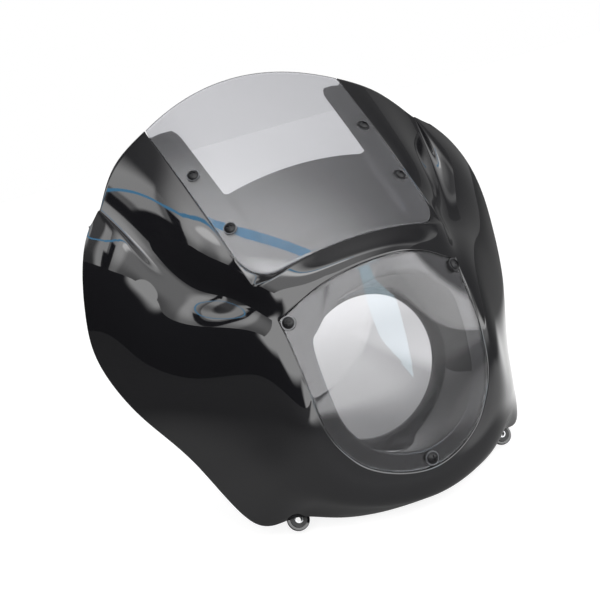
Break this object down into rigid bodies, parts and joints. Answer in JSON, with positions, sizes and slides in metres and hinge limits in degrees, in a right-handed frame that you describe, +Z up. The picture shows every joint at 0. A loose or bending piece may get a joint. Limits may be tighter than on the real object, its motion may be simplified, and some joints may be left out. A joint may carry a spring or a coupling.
{
  "type": "headlight cowl",
  "caption": "Moulded headlight cowl with a flush smoked windshield, a flush lens in front of the round lamp opening, and lugs for fork brackets.",
  "frame": {"origin": "centre of the rear face of the round lamp opening", "axes": "as mounted: +X to the right seen from the front, +Y towards the rider along the lamp's axis, +Z up"},
  "size_m": [0.493, 0.2708, 0.4453],
  "materials": {
    "shell_black": "high gloss black",
    "windshield_smoke": "clear light smoke, glossy",
    "lens_smoke": "clear smoke, glossy",
    "screw_black": "black oxide, satin",
    "washer_bright": "satin",
    "rubber_black": "matt",
    "sleeve_steel": "satin"
  },
  "bodies": {
    "root": {"fairing_shell": "shell_black", "windshield": "windshield_smoke", "headlight_lens": "lens_smoke", "windshield_screw_upper_left": "screw_black", "windshield_washer_upper_left": "washer_bright", "windshield_well_nut_upper_left": "rubber_black", "windshield_screw_upper_right": "screw_black", "windshield_washer_upper_right": "washer_bright", "windshield_well_nut_upper_right": "rubber_black", "windshield_screw_lower_left": "screw_black", "windshield_washer_lower_left": "washer_bright", "windshield_well_nut_lower_left": "rubber_black", "windshield_screw_lower_right": "screw_black", "windshield_washer_lower_right": "washer_bright", "windshield_well_nut_lower_right": "rubber_black", "lens_screw_left": "screw_black", "lens_washer_left": "washer_bright", "lens_well_nut_left": "rubber_black", "lens_screw_right": "screw_black", "lens_washer_right": "washer_bright", "lens_well_nut_right": "rubber_black", "lens_screw_bottom": "screw_black", "lens_washer_bottom": "washer_bright", "lens_well_nut_bottom": "rubber_black", "upper_grommet_left": "rubber_black", "upper_sleeve_left": "sleeve_steel", "upper_grommet_right": "rubber_black", "upper_sleeve_right": "sleeve_steel", "lower_grommet_left": "rubber_black", "lower_sleeve_left": "sleeve_steel", "lower_grommet_right": "rubber_black", "lower_sleeve_right": "sleeve_steel"}
  },
  "joints": []
}
